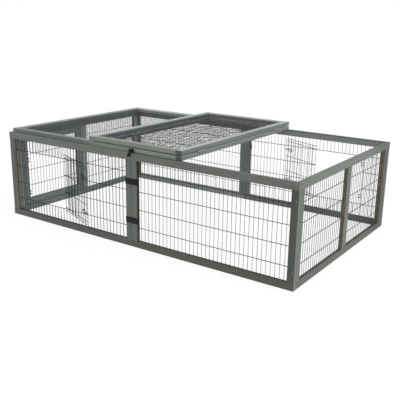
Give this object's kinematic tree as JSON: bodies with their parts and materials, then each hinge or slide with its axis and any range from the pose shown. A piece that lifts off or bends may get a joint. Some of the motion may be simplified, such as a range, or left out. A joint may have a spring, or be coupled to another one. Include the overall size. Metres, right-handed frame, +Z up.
{
  "type": "outdoor rabbit run",
  "caption": "Low rectangular pet run of painted timber frames and welded wire mesh, with a folding three-part roof, wire doors in the long sides and a framed door in one end.",
  "frame": {"origin": "on the ground, at the middle of the run's footprint", "axes": "+X along the run towards the end without a door, +Y across it towards the back wall, +Z up"},
  "size_m": [1.8076, 1.2967, 0.528],
  "materials": {
    "painted_timber": "grey-green paint on softwood, the grain showing faintly",
    "wire": "dull galvanised wire",
    "zinc": "yellowish zinc plating, satin",
    "black_steel": "black coating, satin"
  },
  "bodies": {
    "run": {"front_left_top_rail": "painted_timber", "front_left_bottom_rail": "painted_timber", "front_left_stiles": "painted_timber", "front_right_top_rail": "painted_timber", "front_right_bottom_rail": "painted_timber", "front_right_stiles": "painted_timber", "back_left_top_rail": "painted_timber", "back_left_bottom_rail": "painted_timber", "back_left_stiles": "painted_timber", "back_right_top_rail": "painted_timber", "back_right_bottom_rail": "painted_timber", "back_right_stiles": "painted_timber", "right_end_rails": "painted_timber", "right_end_stiles": "painted_timber", "left_end_rails": "painted_timber", "left_end_stiles": "painted_timber", "front_left_mesh": "wire", "front_right_mesh": "wire", "back_left_mesh": "wire", "back_right_mesh": "wire", "right_end_mesh": "wire", "left_end_mesh": "wire", "roof_left_side_rails": "painted_timber", "roof_left_cross_rails": "painted_timber", "roof_left_mesh": "wire", "end_hinge_fixed_leaves": "zinc", "end_hinge_pins": "zinc", "end_door_button_screw": "zinc", "left_hinge_fixed_leaves": "zinc", "left_hinge_pins": "zinc", "bolt_keepers": "wire", "roof_latch_plate": "black_steel", "frame_clips": "black_steel", "corner_screws": "zinc"},
    "roof_middle": {"roof_middle_side_rails": "painted_timber", "roof_middle_cross_rails": "painted_timber", "roof_middle_mesh": "wire", "left_hinge_moving_leaves": "zinc", "right_hinge_lower_leaves": "zinc", "right_hinge_pins": "zinc", "roof_latch_stud": "black_steel"},
    "roof_right": {"roof_right_side_rails": "painted_timber", "roof_right_cross_rails": "painted_timber", "roof_right_mesh": "wire", "right_hinge_upper_leaves": "zinc"},
    "front_door": {"front_wire_door": "wire", "front_bolt_guides": "wire"},
    "front_bolt_upper": {"front_upper_bolt": "wire"},
    "front_bolt_lower": {"front_lower_bolt": "wire"},
    "back_door": {"back_wire_door": "wire", "back_bolt_guides": "wire"},
    "back_bolt_upper": {"back_upper_bolt": "wire"},
    "back_bolt_lower": {"back_lower_bolt": "wire"},
    "end_door": {"end_door_rails": "painted_timber", "end_door_stiles": "painted_timber", "end_door_mesh": "wire", "end_hinge_door_leaves": "zinc"},
    "end_button": {"end_door_button": "zinc"},
    "latch_hook": {"roof_latch_hook": "black_steel"}
  },
  "joints": [
    {"name": "roof_middle_lift", "type": "hinge", "parent": "run", "child": "roof_middle", "pos_m": [-0.295, 0, 0.504], "axis": [0, -1, 0], "range_deg": [0, 92]},
    {"name": "roof_right_unfold", "type": "hinge", "parent": "roof_middle", "child": "roof_right", "pos_m": [0.296, 0, 0.504], "axis": [0, 1, 0], "range_deg": [0, 180]},
    {"name": "front_door_swing", "type": "hinge", "parent": "run", "child": "front_door", "pos_m": [-0.475, -0.54, 0.2], "axis": [0, 0, 1], "range_deg": [-157.4, 6]},
    {"name": "front_upper_bolt_slide", "type": "slide", "parent": "front_door", "child": "front_bolt_upper", "axis": [0.9232, -0.3843, 0], "range_m": [0, 0.012]},
    {"name": "front_lower_bolt_slide", "type": "slide", "parent": "front_door", "child": "front_bolt_lower", "axis": [0.9232, -0.3843, 0], "range_m": [0, 0.012]},
    {"name": "back_door_swing", "type": "hinge", "parent": "run", "child": "back_door", "pos_m": [0.475, 0.54, 0.2], "axis": [0, 0, 1], "range_deg": [-155, 8]},
    {"name": "back_upper_bolt_slide", "type": "slide", "parent": "back_door", "child": "back_bolt_upper", "axis": [-0.9063, 0.4226, 0], "range_m": [0, 0.012]},
    {"name": "back_lower_bolt_slide", "type": "slide", "parent": "back_door", "child": "back_bolt_lower", "axis": [-0.9063, 0.4226, 0], "range_m": [0, 0.012]},
    {"name": "end_door_swing", "type": "hinge", "parent": "run", "child": "end_door", "pos_m": [-0.9032, -0.479, 0.24], "axis": [0, 0, 1], "range_deg": [0, 175]},
    {"name": "end_button_turn", "type": "hinge", "parent": "run", "child": "end_button", "pos_m": [-0.9, 0, 0.24], "axis": [1, 0, 0], "range_deg": [0, 90]},
    {"name": "latch_hook_turn", "type": "hinge", "parent": "run", "child": "latch_hook", "pos_m": [-0.01, -0.553, 0.475], "axis": [0, -1, 0], "range_deg": [0, 189]}
  ]
}
